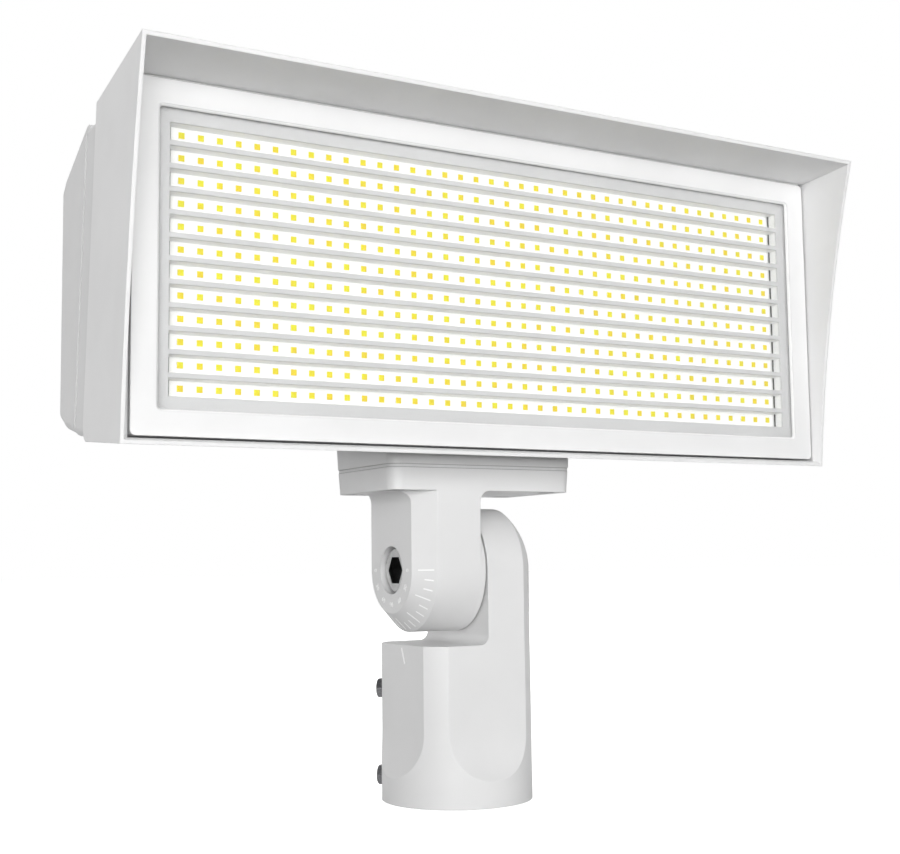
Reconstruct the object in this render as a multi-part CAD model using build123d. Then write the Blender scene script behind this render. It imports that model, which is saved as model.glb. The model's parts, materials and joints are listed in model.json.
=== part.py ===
from build123d import *
import math
import os

# Area floodlight on a slipfitter. Origin: centre of the sleeve's lower rim, on the pole axis.
# X runs to the right, the light shines towards -Y, Z is up. Millimetres.

# Tenon sleeve and its lug
tenon_bore_r = 30.5
tenon_depth = 70.0
sleeve_wall = 10.1
flat_wall = 2.6
scoop_z = 37.5
scoop_r = 41.7
bore_roof_t = 12.8
step_fillet = 5.0
knuckle_rise = 39.5
lug_x = 1.15
lug_pocket_x = 22.0

# Set screws
set_screw_r = 4.0
set_screw_low_z = 11.0
set_screw_top_inset = 12.2
set_screw_bearings = (45.0, 135.0)
set_screw_tip_gap = 0.3
set_screw_head_t = 3.4
set_screw_head_af = 10.0
set_screw_head_rounding = 0.97
set_screw_chamfer = 0.6
spot_face_depth = 1.8
spot_face_gap = 0.83

# Tilting arm
hub_left_x = -39.1
hub_chamfer = 10.1
neck_right_x = -2.8
arm_gap = 0.3
arm_fillet = 6.0
neck_rise = 41.35
flange_t = 11.55
flange_half_x = 55.4
flange_corner_r = 6.2
flange_draft = 4.4

# Pivot hardware
bolt_r = 8.0
bolt_head_rim = 4.0
bolt_head_t = 16.0
bolt_head_recess = 2.5
bolt_head_gap = 0.75
bolt_head_chamfer = 0.8
bolt_socket_af = 14.0
bolt_socket_depth = 8.0
bolt_tail = 1.5
bolt_tail_chamfer = 1.0
washer_gap = 1.0
washer_t = 2.5
nut_af = 24.0
nut_t = 12.6
nut_corner_gap = 1.14
running_fit = 0.05

# Wireway
wire_r = 22.0
wire_hole_r = 5.5
wire_port_r = 7.0
wire_x = -10.5
bushing_bore_r = 4.5
bushing_wall = 3.5
bushing_lip = 2.5
bushing_flange_t = 2.0
bushing_boss_rim = 1.5
bushing_boss_rise = 1.5

# Flange screws, with their heads sunk into the flange
flange_screw_left_inset = 7.0
flange_screw_right_inset = 9.9
flange_screw_y_inset = 9.6
flange_screw_depth = 21.0
flange_screw_recess = 0.4
m5_r = 2.5
m5_head_r = 4.25
m5_head_t = 5.0
counterbore_gap = 0.75

# Seals
flange_gasket_t = 2.0
gasket_inset = 0.4
rear_gasket_t = 1.0
rear_gasket_inset = 1.0
door_gasket_t = 1.5
lens_gasket_t = 0.5
lens_gasket_step = 1.0

# Lamps and baffle, from which the head gets its width and height
slot_count = 12
slot_pitch = 10.68
slot_bar = 2.38
slot_end_gap = 0.7
slot_draft = 6.1
baffle_t = 5.6
rivet_side = 2.9
rivet_over = 5.42
rivet_r = 2.0
rivet_shank_r = 1.2
led_count = 39
led_pitch = 9.317
led_size = 3.1
led_t = 0.7
strip_end = 1.6185
strip_gap = 1.28
strip_t = 1.6
carrier_t = 3.0
carrier_screw_inset = 4.0
carrier_screw_z = 30.0
carrier_screw_head_r = 2.4
carrier_screw_head_t = 1.4

# Door frame and glass pack
window_side = 6.6
window_over = 5.87
door_corner_r = 2.5
glass_bite_x = 4.9
glass_bite_z = 5.05
glass_t = 3.0
glass_corner_r = 1.0
glass_room = 1.0
lip_t = 1.2
door_wall_x = 5.9
door_wall_z = 5.35
rim_gap = 0.2
rim_t = 2.0
rim_short = 3.2
pack_gap = 0.3
door_screw_x = 120.0
door_screw_inset = 3.0
m3_r = 1.5
m3_head_r = 2.75
m3_head_t = 1.65
m3_socket_af = 2.0

# Head housing and the pad under it
housing_front_y = -52.0
housing_depth = 70.1
housing_side_step = 0.6
housing_top_step = 2.35
housing_bottom_step = 0.05
housing_wall = 3.2
housing_edge_r = 4.0
bottom_slope = 0.095
rear_slope = 0.104
pad_drop = 6.2
pad_draft = 3.0
pad_sink = 1.0
pad_gap = 0.3
ledge_t = 3.0
ledge_step = 1.0
ledge_land_x = 8.0
ledge_land_z = 8.5
ledge_corner_r = 4.0

# Rear cover
cover_depth = 46.4
cover_side_step = 1.2
cover_top_step = 1.7
cover_bottom_step = 7.2
cover_corner_r = 5.0
cover_edge_t = 3.89
cover_slope_depth = 10.3
cover_slope_drop = 18.5
cover_edge_drop = 27.4
cover_edge_rise = 12.4
cover_belly_depth = 12.8
cover_belly_rise = 5.6
cover_belly_r = 6.0
fin_height = 24.5
fin_pitch = 13.8
fin_t = 3.2
cover_cheek = 7.0
bay_wall = 4.0
bay_floor = 3.0
seal_land_x = 17.6
seal_land_low = 1.2
seal_land_high = 1.9
cover_screw_mid_x = 70.0
cover_screw_grip = 9.0
cover_screw_bite = 15.0
cover_boss_half = 7.5
cover_boss_depth = 20.0
cover_boss_sink = 0.9
blind_end = 1.0
vent_af = 16.0
vent_cap_t = 5.0
vent_stem_r = 5.0
vent_chamfer = 0.8
vent_rise = 10.0

# Gear in the driver bay
gear_margin = 9.5
bracket_gap = 4.0
bracket_top_gap = 6.0
bracket_height = 80.0
bracket_t = 2.0
bracket_screw_inset = 5.0
driver_size = (128.0, 34.0, 62.0)
driver_corner_r = 3.0
surge_size = (32.0, 25.0, 45.0)
surge_gap = 4.0
terminal_size = (14.0, 18.0, 48.0)
terminal_gap = 7.0
terminal_ways = 5

# Hood
hood_reach = 33.9
hood_spread = 7.2
hood_flare = 0.0413
hood_rise = 7.45
hood_top_slope = 0.085
hood_brow_reach = 13.5
hood_brow_drop = 3.3
hood_chin_reach = 3.1
hood_chin_drop = 4.25
hood_cover = 42.8
hood_rear_slope = 0.128
hood_corner_r = 12.0
hood_edge_t = 1.9
hood_gap = 1.1
hood_top_gap = 1.2
hood_side_gap = 1.5
hood_bottom_t = 1.5
hood_notch_gap = 1.5
hood_notch_corner_r = 3.0
hood_cavity_reach = 1.25
hood_screw_inset = 51.8
hood_screw_back = 22.0
hood_boss_half = 6.0
m4_r = 2.0
m4_head_r = 3.75
m4_head_gap = 0.25
m4_head_sink = 0.35
m4_socket_af = 2.5
m4_bite = 10.0
socket_depth = 1.1

# Sleeve, pivot and arm that follow from the sizes above
sleeve_r = tenon_bore_r + sleeve_wall
flat_y = tenon_bore_r + flat_wall
hub_r = flat_y
step_z = tenon_depth + bore_roof_t
pivot_z = step_z + knuckle_rise
set_screw_heights = (set_screw_low_z, tenon_depth - set_screw_top_inset)
set_screw_head_corner_r = set_screw_head_af / math.sqrt(3)
spot_face_r = set_screw_head_corner_r + spot_face_gap
bolt_head_r = bolt_r + bolt_head_rim
counterbore_r = bolt_head_r + bolt_head_gap
counterbore_floor_x = hub_left_x + bolt_head_recess + bolt_head_t + arm_gap
lug_pocket_r = nut_af / math.sqrt(3) + nut_corner_gap
washer_r = lug_pocket_r - washer_gap
bolt_end_x = lug_pocket_x + washer_t + nut_t + bolt_tail
wire_slot_depth = wire_hole_r - wire_x
friction_washer_r = wire_r - wire_hole_r - 0.5 * washer_gap
bushing_r = bushing_bore_r + bushing_wall
bushing_flange_r = bushing_r + bushing_lip
bushing_boss_r = bushing_flange_r + bushing_boss_rim
flange_z = pivot_z + neck_rise
flange_top_z = flange_z + flange_t
flange_spread = flange_t * math.tan(math.radians(flange_draft))
flange_seat_z = flange_z + flange_screw_recess + m5_head_t
flange_screw_columns = (flange_screw_left_inset - flange_half_x, flange_half_x - flange_screw_right_inset)
flange_screw_y = hub_r - flange_screw_y_inset
pad_z = flange_top_z + flange_gasket_t
pad_half_x = flange_half_x + flange_spread
pad_half_y = hub_r + flange_spread

# Widths and heights of the head that follow
strip_half_x = led_pitch * led_count / 2 + strip_end
strip_width = slot_pitch - strip_gap
slot_half_x = strip_half_x + slot_end_gap
slot_height = slot_pitch - slot_bar
slots_half_z = slot_pitch * slot_count / 2
rivet_x = slot_half_x + rivet_side
rivet_z = slots_half_z + rivet_over
window_half_x = slot_half_x + window_side
window_half_z = slots_half_z + window_over
glass_half_x = window_half_x + glass_bite_x
glass_half_z = window_half_z + glass_bite_z
recess_half_x = glass_half_x + glass_room
recess_half_z = glass_half_z + glass_room
door_half_x = recess_half_x + door_wall_x
door_half_z = recess_half_z + door_wall_z
rim_half_x = recess_half_x - rim_gap
rim_half_z = recess_half_z - rim_gap
pack_half_x = rim_half_x - rim_t - pack_gap
pack_half_z = rim_half_z - rim_t - pack_gap
carrier_screw_x = pack_half_x - carrier_screw_inset
ledge_half_x = pack_half_x - ledge_land_x
ledge_half_z = pack_half_z - ledge_land_z
head_z = pad_z + pad_drop + door_half_z - housing_bottom_step
housing_half_x = door_half_x - housing_side_step
housing_top_z = head_z + door_half_z - housing_top_step
housing_bottom_z = head_z - door_half_z + housing_bottom_step

# Depths of the head that follow, from the housing's front face
ledge_y = housing_front_y - ledge_step
carrier_y = ledge_y - carrier_t
strip_y = carrier_y - strip_t
baffle_y = strip_y - baffle_t
glass_y = baffle_y - glass_t
lens_gasket_y = glass_y - lens_gasket_t
door_front_y = lens_gasket_y - lip_t
door_rear_y = housing_front_y - door_gasket_t
rim_depth = housing_front_y - baffle_y - rim_short
rear_y = housing_front_y + housing_depth

# Rear cover and gear that follow
cover_half_x = housing_half_x - cover_side_step
cover_rear_y = rear_y + cover_depth
cover_top_z = housing_top_z + cover_top_step
cover_bottom_z = housing_bottom_z + cover_bottom_step
cover_edge_top_z = cover_top_z - cover_edge_drop
cover_edge_bottom_z = cover_bottom_z + cover_edge_rise
cover_slope_z = cover_top_z - cover_slope_drop
cover_belly_z = cover_bottom_z + cover_belly_rise
fin_base_y = cover_rear_y - fin_height
gear_length = driver_size[0] + surge_gap + surge_size[0] + terminal_gap + terminal_size[0]
bracket_half_x = gear_length / 2 + gear_margin
bay_half_x = bracket_half_x + bracket_gap + bay_wall
fin_count = int((cover_half_x - cover_cheek - bay_half_x) / fin_pitch)
bay_low_z = cover_edge_bottom_z + bay_floor
bay_top_z = cover_edge_top_z - bay_wall
side_cavity_half_x = cover_half_x - seal_land_x
side_cavity_low_z = cover_belly_z - seal_land_low
side_cavity_top_z = cover_slope_z - seal_land_high
boss_inset = housing_wall + cover_boss_half - cover_boss_sink
cover_screw_side_x = housing_half_x - boss_inset
cover_screw_top_z = housing_top_z - boss_inset
cover_screw_low_z = housing_bottom_z + bottom_slope * housing_depth + boss_inset
vent_z = bay_low_z + vent_rise
bracket_y = cover_rear_y - bay_wall - bracket_t
bracket_top_z = bay_top_z - bracket_top_gap
bracket_low_z = bracket_top_z - bracket_height
bracket_screw_x = bracket_half_x - bracket_screw_inset
gear_z = (bracket_low_z + bracket_top_z) / 2
driver_x = (driver_size[0] - gear_length) / 2
surge_x = driver_x + (driver_size[0] + surge_size[0]) / 2 + surge_gap
terminal_x = surge_x + (surge_size[0] + terminal_size[0]) / 2 + terminal_gap

# Hood that follows
hood_front_y = door_front_y - hood_reach
hood_front_half_x = housing_half_x + hood_spread
hood_front_top_z = head_z + door_half_z + hood_rise
hood_brow_y = door_front_y - hood_brow_reach
hood_brow_z = head_z - hood_brow_drop
hood_chin_y = door_front_y - hood_chin_reach
hood_chin_z = head_z - door_half_z - hood_chin_drop
hood_rear_y = housing_front_y + hood_cover
hood_screw_x = housing_half_x - hood_screw_inset
hood_screw_y = housing_front_y + hood_screw_back

# How far cutters reach past what they cut
past = 5.0
far = 500.0


def block(x0, x1, y0, y1, z0, z1):
    """Box between six faces."""
    middle = Pos((x0 + x1) / 2, (y0 + y1) / 2, (z0 + z1) / 2)
    return middle * Box(x1 - x0, y1 - y0, z1 - z0)


def bar_x(radius, x0, x1, y=0.0, z=pivot_z):
    """Round bar along X."""
    return Pos((x0 + x1) / 2, y, z) * Rot(0, 90, 0) * Cylinder(radius, x1 - x0)


def bar_y(radius, y0, y1, x, z):
    """Round bar along Y."""
    return Pos(x, (y0 + y1) / 2, z) * Rot(90, 0, 0) * Cylinder(radius, y1 - y0)


def bar_z(radius, z0, z1, x=0.0, y=0.0):
    """Round bar along Z."""
    return Pos(x, y, (z0 + z1) / 2) * Cylinder(radius, z1 - z0)


def panel(half_x, half_z, y0, y1, z=head_z, corner_r=0.0):
    """Upright plate from y0 back to y1."""
    plane = Plane(origin=(0, y0, z), x_dir=(1, 0, 0), z_dir=(0, 1, 0))
    if corner_r:
        outline = RectangleRounded(2 * half_x, 2 * half_z, corner_r)
    else:
        outline = Rectangle(2 * half_x, 2 * half_z)
    return extrude(plane * outline, y1 - y0)


def side_prism(points, half_x):
    """Side outline, given as (y, z) points, carried across from -half_x to half_x."""
    outline = Polyline([(0, y, z) for y, z in points], close=True)
    return extrude(make_face(outline), half_x, both=True)


def rear_face_y(z):
    """Where the housing's leaning rear face is at height z."""
    return rear_y - rear_slope * (z - head_z)


def bottom_face_z(y):
    """Where the housing's rising bottom is at depth y."""
    return housing_bottom_z + bottom_slope * (y - housing_front_y)


def hood_top_at(y):
    """Outer top of the hood."""
    return hood_front_top_z - hood_top_slope * (y - hood_front_y)


def hood_bottom_at(y):
    """Outer bottom of the hood."""
    return hood_chin_z + bottom_slope * (y - hood_chin_y)


def hood_half_x_at(y):
    """Outer half width of the hood."""
    return hood_front_half_x - hood_flare * (y - hood_front_y)


def hood_rear_at(z):
    """Where the hood's leaning rear edge is at height z."""
    return hood_rear_y + hood_rear_slope * (head_z - z)


def set_screw_places():
    """Bearing and height of each set screw."""
    return [(bearing, z) for bearing in set_screw_bearings for z in set_screw_heights]


def flange_screw_places():
    """Centres of the screws under the flange."""
    return [(x, y) for x in flange_screw_columns for y in (-flange_screw_y, flange_screw_y)]


def cover_screw_places():
    """Centres of the rear cover's screws."""
    columns = (-cover_screw_side_x, cover_screw_side_x)
    corners = [(x, z) for x in columns for z in (cover_screw_low_z, cover_screw_top_z)]
    middle = [(x, cover_screw_top_z) for x in (-cover_screw_mid_x, cover_screw_mid_x)]
    return corners + middle


def slot_heights():
    """Height of each slot and of the strip behind it."""
    first = head_z - slot_pitch * (slot_count - 1) / 2
    return [first + slot_pitch * row for row in range(slot_count)]


def make_slipfitter():
    """Cast sleeve with three scooped flats, a step and a lug cut by a cylinder and a sphere."""
    body = bar_z(sleeve_r, 0, pivot_z) + Pos(0, 0, pivot_z) * Sphere(sleeve_r)
    crown = block(-far, far, -far, far, 0, pivot_z) + bar_x(hub_r, -far, far)
    body = body & crown
    scoop = block(-far, far, -far, -flat_y, scoop_z, far)
    scoop += bar_x(scoop_r, -far, far, -flat_y - scoop_r, scoop_z)
    for turn in (0, -90, 180):
        body -= Rot(0, 0, turn) * scoop
    step = block(-far, lug_x, -far, far, step_z, far)
    corner = step.edges().filter_by(Axis.Y).sort_by(lambda e: e.center().X - e.center().Z)[-1]
    body -= fillet(corner, step_fillet)
    body -= bar_z(tenon_bore_r, 0, tenon_depth)
    body -= bar_x(bolt_r + running_fit, 0, sleeve_r + past)
    body -= bar_x(lug_pocket_r, lug_pocket_x, sleeve_r + past)
    port_x = 2 * wire_port_r
    port_z = pivot_z - wire_r
    body -= bar_x(wire_port_r, 0, port_x, 0, port_z)
    body -= bar_z(wire_port_r, tenon_depth - 1, port_z, port_x)
    body -= Pos(port_x, 0, port_z) * Sphere(wire_port_r)
    for bearing, z in set_screw_places():
        seat_r = sleeve_r - spot_face_depth
        hole = bar_x(set_screw_r + running_fit, tenon_bore_r - past, sleeve_r + past, 0, z)
        hole += bar_x(spot_face_r, seat_r, sleeve_r + past, 0, z)
        body -= Rot(0, 0, bearing) * hole
    return body


def make_set_screw(bearing, z):
    """Hex head screw that grips the tenon."""
    head_end = sleeve_r + set_screw_head_t
    screw = bar_x(set_screw_r, tenon_bore_r + set_screw_tip_gap, sleeve_r, 0, z)
    plane = Plane(origin=(sleeve_r, 0, z), x_dir=(0, 1, 0), z_dir=(1, 0, 0))
    head = extrude(plane * RegularPolygon(set_screw_head_af / 2, 6, major_radius=False), set_screw_head_t)
    dome = bar_x(set_screw_head_corner_r * set_screw_head_rounding, sleeve_r, head_end, 0, z)
    dome = chamfer(dome.edges().sort_by(Axis.X)[-1], set_screw_chamfer)
    return Rot(0, 0, bearing) * (screw + (head & dome))


def make_knuckle_arm():
    """Chamfered round hub, neck and the flange under the head."""
    neck_top = flange_z - pivot_z
    sides = Polyline([(-hub_r, 0), (-hub_r, neck_top), (hub_r, neck_top), (hub_r, 0)])
    outline = make_face(sides + ThreePointArc((hub_r, 0), (0, -hub_r), (-hub_r, 0)))
    plane = Plane(origin=(hub_left_x, 0, pivot_z), x_dir=(0, 1, 0), z_dir=(1, 0, 0))
    arm = extrude(plane * outline, neck_right_x - hub_left_x)
    rim = arm.faces().sort_by(Axis.X)[0].edges().sort_by(Axis.Z)[:-1]
    arm = chamfer(rim, hub_chamfer)
    plate = Rectangle(2 * flange_half_x, 2 * hub_r)
    plate = fillet(plate.vertices(), flange_corner_r)
    arm += extrude(Pos(0, 0, flange_z) * plate, flange_t, taper=-flange_draft)
    seam = arm.edges().filter_by(Axis.Y).filter_by(lambda e: abs(e.center().Z - flange_z) < running_fit)
    neck_x = (hub_left_x + neck_right_x) / 2
    arm = fillet(seam.sort_by(lambda e: abs(e.center().X - neck_x))[:2], arm_fillet)
    arm += bar_x(hub_r, neck_right_x - 1, 0)
    arm -= bar_x(bolt_r + running_fit, hub_left_x, 1)
    arm -= bar_x(counterbore_r, hub_left_x - past, counterbore_floor_x)
    slot = bar_x(wire_r + wire_hole_r, -wire_slot_depth, 1) - bar_x(wire_r - wire_hole_r, -far, far)
    slot = slot & block(-far, far, -far, far, 0, pivot_z)
    arm -= slot
    for side in (-1, 1):
        arm -= bar_x(wire_hole_r, -wire_slot_depth, 1, side * wire_r)
    arm -= bar_z(wire_hole_r, pivot_z, flange_top_z, wire_x, -wire_r)
    for x, y in flange_screw_places():
        arm -= bar_z(m5_r, flange_z, flange_top_z, x, y)
        arm -= bar_z(m5_head_r + counterbore_gap, flange_z - past, flange_seat_z, x, y)
    return arm


def make_pivot_bolt():
    """Socket cap screw that the arm turns on."""
    head_x = counterbore_floor_x - arm_gap
    bolt = bar_x(bolt_r, head_x, bolt_end_x)
    bolt = chamfer(bolt.edges().sort_by(Axis.X)[-1], bolt_tail_chamfer)
    head = bar_x(bolt_head_r, head_x - bolt_head_t, head_x)
    head = chamfer(head.edges().sort_by(Axis.X)[0], bolt_head_chamfer)
    plane = Plane(origin=(head_x - bolt_head_t, 0, pivot_z), x_dir=(0, 1, 0), z_dir=(1, 0, 0))
    socket = RegularPolygon(bolt_socket_af / 2, 6, major_radius=False)
    return bolt + head - extrude(plane * socket, bolt_socket_depth)


def make_pivot_nut():
    """Hex nut in the lug's pocket."""
    plane = Plane(origin=(lug_pocket_x + washer_t, 0, pivot_z), x_dir=(0, 1, 0), z_dir=(1, 0, 0))
    nut = extrude(plane * RegularPolygon(nut_af / 2, 6, major_radius=False), nut_t)
    return nut - bar_x(bolt_r, 0, far)


def make_washer(radius, x0, x1):
    """Flat ring on the pivot."""
    return bar_x(radius, x0, x1) - bar_x(bolt_r + running_fit, x0 - 1, x1 + 1)


def make_flange_gasket():
    """Seal between the flange and the pad."""
    half_x = pad_half_x - gasket_inset
    half_y = pad_half_y - gasket_inset
    seal = extrude(Pos(0, 0, flange_top_z) * RectangleRounded(2 * half_x, 2 * half_y, flange_corner_r),
                   flange_gasket_t)
    seal -= bar_z(wire_hole_r, flange_top_z - 1, pad_z + 1, wire_x, -wire_r)
    for x, y in flange_screw_places():
        seal -= bar_z(m5_r, flange_top_z - 1, pad_z + 1, x, y)
    return seal


def make_flange_screws():
    """Cap screws sunk into the flange from below."""
    screws = []
    for x, y in flange_screw_places():
        head_z = flange_seat_z - m5_head_t
        screw = bar_z(m5_head_r, head_z, flange_seat_z, x, y)
        screw += bar_z(m5_r, flange_seat_z, flange_z + flange_screw_depth, x, y)
        screws.append(screw - extrude(Pos(x, y, head_z) * RegularPolygon(m5_r, 6), m5_r))
    return Compound(children=screws)


def housing_envelope():
    """Housing outside, with a rising bottom and a leaning rear face."""
    low_y = rear_face_y(housing_bottom_z)
    low_z = bottom_face_z(low_y)
    points = [
        (housing_front_y, housing_bottom_z),
        (housing_front_y, housing_top_z),
        (rear_face_y(housing_top_z), housing_top_z),
        (rear_face_y(low_z), low_z),
    ]
    body = side_prism(points, housing_half_x)
    long_edges = body.edges().filter_by(lambda e: abs((e % 0.5).Y) > abs((e % 0.5).Z))
    return fillet(long_edges, housing_edge_r)


def make_housing():
    """Cast body with the mounting pad, the lamp ledge, bosses and a rim inside the door."""
    outside = housing_envelope()
    inner_half_x = housing_half_x - housing_wall
    floor_rise = bottom_slope * far
    low_z = housing_bottom_z + housing_wall
    cavity = side_prism([
        (housing_front_y + ledge_t, low_z + bottom_slope * ledge_t),
        (housing_front_y + ledge_t, housing_top_z - housing_wall),
        (housing_front_y + far, housing_top_z - housing_wall),
        (housing_front_y + far, low_z + floor_rise),
    ], inner_half_x)
    body = outside - cavity
    bosses = []
    half = cover_boss_half
    for x, z in cover_screw_places():
        bosses.append(block(x - half, x + half, rear_face_y(z) - cover_boss_depth, far, z - half, z + half))
    half = hood_boss_half
    y0, y1 = hood_screw_y - half, hood_screw_y + half
    for x in (-hood_screw_x, hood_screw_x):
        bosses.append(block(x - half, x + half, y0, y1, housing_top_z - m4_bite, housing_top_z))
        bosses.append(block(x - half, x + half, y0, y1, 0, bottom_face_z(hood_screw_y) + m4_bite))
    for boss in bosses:
        body += boss & outside
    body += panel(rim_half_x, rim_half_z, housing_front_y - rim_depth, housing_front_y) - panel(
        rim_half_x - rim_t, rim_half_z - rim_t, housing_front_y - rim_depth, housing_front_y)
    body += panel(pack_half_x, pack_half_z, ledge_y, housing_front_y)
    lamp_opening_rear = housing_front_y + past
    body -= panel(ledge_half_x, ledge_half_z, ledge_y - past, lamp_opening_rear, corner_r=ledge_corner_r)
    body += mounting_pad()
    boss_top = bushing_seat_z()
    body += bar_z(bushing_boss_r, pad_z + pad_sink, boss_top, wire_x, -wire_r)
    body -= bar_z(bushing_r, pad_z, boss_top, wire_x, -wire_r)
    for x, y in flange_screw_places():
        body -= bar_z(m5_r, pad_z - past, flange_z + flange_screw_depth, x, y)
    for x, z in cover_screw_places():
        body -= bar_y(m5_r, rear_face_y(z) - cover_screw_bite, far, x, z)
    for x in (-hood_screw_x, hood_screw_x):
        body -= bar_z(m4_r, housing_top_z - m4_bite + blind_end, far, x, hood_screw_y)
        body -= bar_z(m4_r, 0, bottom_face_z(hood_screw_y) + m4_bite - blind_end, x, hood_screw_y)
    for x, z, side in door_screw_places():
        body -= door_screw(x, z, side)
    for x, z in carrier_screw_places():
        body -= bar_y(m3_r, ledge_y - past, housing_front_y + past, x, z)
    return body


def mounting_pad():
    """Drafted pad under the housing, cut off inside the housing's bottom and below the rear cover."""
    pad = Rectangle(2 * pad_half_x, 2 * pad_half_y)
    pad = fillet(pad.vertices(), flange_corner_r)
    roof_z = cover_bottom_z - pad_gap
    roof_y = housing_front_y + (roof_z - pad_sink - housing_bottom_z) / bottom_slope
    below = side_prism([
        (-far, bottom_face_z(-far) + pad_sink),
        (roof_y, roof_z),
        (far, roof_z),
        (far, -far),
        (-far, -far),
    ], far)
    return extrude(Pos(0, 0, pad_z) * pad, cover_bottom_z - pad_z, taper=-pad_draft) & below


def bushing_seat_z():
    """Top of the boss that holds the wire bushing."""
    return bottom_face_z(-wire_r) + housing_wall + bushing_boss_rise


def make_wire_bushing():
    """Rubber bushing where the wires enter the housing."""
    seat = bushing_seat_z()
    ring = bar_z(bushing_r, pad_z, seat, wire_x, -wire_r)
    ring += bar_z(bushing_flange_r, seat, seat + bushing_flange_t, wire_x, -wire_r)
    return ring - bar_z(bushing_bore_r, pad_z - past, far, wire_x, -wire_r)


def make_housing_gasket():
    """Seal on the housing's leaning rear face."""
    low_z = cover_bottom_z + rear_gasket_inset
    high_z = housing_top_z - rear_gasket_inset
    ring = side_prism([
        (rear_face_y(low_z), low_z),
        (rear_face_y(high_z), high_z),
        (rear_face_y(high_z) + rear_gasket_t, high_z),
        (rear_face_y(low_z) + rear_gasket_t, low_z),
    ], cover_half_x - gasket_inset)
    ring -= block(-side_cavity_half_x, side_cavity_half_x, -far, far, side_cavity_low_z, side_cavity_top_z)
    for x, z in cover_screw_places():
        ring -= bar_y(m5_r, -far, far, x, z)
    return ring


def make_rear_cover():
    """Finned rear cover with the driver bay in the middle."""
    body = side_prism([
        (rear_face_y(cover_bottom_z) + rear_gasket_t, cover_bottom_z),
        (rear_face_y(cover_top_z) + rear_gasket_t, cover_top_z),
        (rear_face_y(cover_top_z) + rear_gasket_t + cover_edge_t, cover_top_z),
        (cover_rear_y - cover_slope_depth, cover_slope_z),
        (cover_rear_y, cover_edge_top_z),
        (cover_rear_y, cover_edge_bottom_z),
        (cover_rear_y - cover_belly_depth, cover_belly_z),
    ], cover_half_x)
    belly = body.edges().filter_by(Axis.X).sort_by(lambda e: e.center().Y - e.center().Z)[-2:]
    body = fillet(belly, cover_belly_r)
    corners = body.edges().filter_by(Axis.Z).sort_by(Axis.Y)[-2:]
    body = fillet(corners, cover_corner_r)
    groove_w = fin_pitch - fin_t
    for side in (-1, 1):
        for index in range(fin_count):
            x = side * (bay_half_x + groove_w / 2 + fin_pitch * index)
            body -= block(x - groove_w / 2, x + groove_w / 2, fin_base_y, far, 0, far)
    bay_inner = bay_half_x - bay_wall
    body -= block(-bay_inner, bay_inner, 0, cover_rear_y - bay_wall, bay_low_z, bay_top_z)
    half_x = side_cavity_half_x
    body -= block(-half_x, half_x, 0, fin_base_y - bay_wall, side_cavity_low_z, side_cavity_top_z)
    for x, z in cover_screw_places():
        seat = rear_face_y(z) + rear_gasket_t + cover_screw_grip
        body -= bar_y(m5_r, 0, far, x, z)
        body -= bar_y(m5_head_r + counterbore_gap, seat, far, x, z)
    body -= bar_y(vent_stem_r, cover_rear_y - bay_wall - past, far, 0, vent_z)
    for x in (-bracket_screw_x, bracket_screw_x):
        body -= bar_y(m3_r, bracket_y, cover_rear_y - blind_end, x, gear_z)
    return body


def make_cover_screws():
    """Cap screws that pull the rear cover to the housing."""
    screws = []
    for x, z in cover_screw_places():
        start = rear_face_y(z) - cover_screw_bite
        seat = rear_face_y(z) + rear_gasket_t + cover_screw_grip
        screw = bar_y(m5_r, start, seat, x, z) + bar_y(m5_head_r, seat, seat + m5_head_t, x, z)
        plane = Plane(origin=(x, seat + m5_head_t, z), x_dir=(1, 0, 0), z_dir=(0, -1, 0))
        screws.append(screw - extrude(plane * RegularPolygon(m5_r, 6), m5_r))
    return Compound(children=screws)


def make_breather_vent():
    """Hex pressure vent in the bay's rear wall."""
    plane = Plane(origin=(0, cover_rear_y, vent_z), x_dir=(1, 0, 0), z_dir=(0, 1, 0))
    cap = extrude(plane * RegularPolygon(vent_af / 2, 6, major_radius=False), vent_cap_t)
    cap = chamfer(cap.faces().sort_by(Axis.Y)[-1].edges(), vent_chamfer)
    return cap + bar_y(vent_stem_r, cover_rear_y - bay_wall, cover_rear_y, 0, vent_z)


def make_door_frame():
    """Square bezel that clamps the glass."""
    frame = panel(door_half_x, door_half_z, door_front_y, door_rear_y, corner_r=door_corner_r)
    frame -= panel(window_half_x, window_half_z, door_front_y - past, 0, corner_r=door_corner_r)
    frame -= panel(recess_half_x, recess_half_z, door_front_y + lip_t, 0)
    for x, z, side in door_screw_places():
        frame -= door_screw(x, z, side)
    return frame


def door_screw_places():
    """Foot, height and side of the screws through the door frame's long walls."""
    columns = (-door_screw_x, door_screw_x)
    return [(x, head_z + side * door_half_z, side) for x in columns for side in (-1, 1)]


def countersunk(radius, head_r, length):
    """Screw with a 90 degree countersunk head, its flat face at the origin and its shank down."""
    head_t = head_r - radius
    shank = Pos(0, 0, -length / 2) * Cylinder(radius, length)
    return shank + Pos(0, 0, -head_t / 2) * Cone(radius, head_r, head_t)


def hex_socket(across_flats):
    """What a hex key's socket takes out of a head at the origin."""
    return extrude(RegularPolygon(across_flats / 2, 6, major_radius=False), -socket_depth)


def door_screw(x, z, side, socket_af=0.0):
    """Countersunk screw through the door frame into the housing's rim."""
    screw = countersunk(m3_r, m3_head_r, door_half_z - rim_half_z + rim_t)
    if socket_af:
        screw -= hex_socket(socket_af)
    return Pos(x, door_rear_y - door_screw_inset, z) * Rot(90 - 90 * side, 0, 0) * screw


def make_door_screws():
    """Four countersunk screws as one group."""
    return Compound(children=[door_screw(x, z, side, m3_socket_af) for x, z, side in door_screw_places()])


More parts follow.
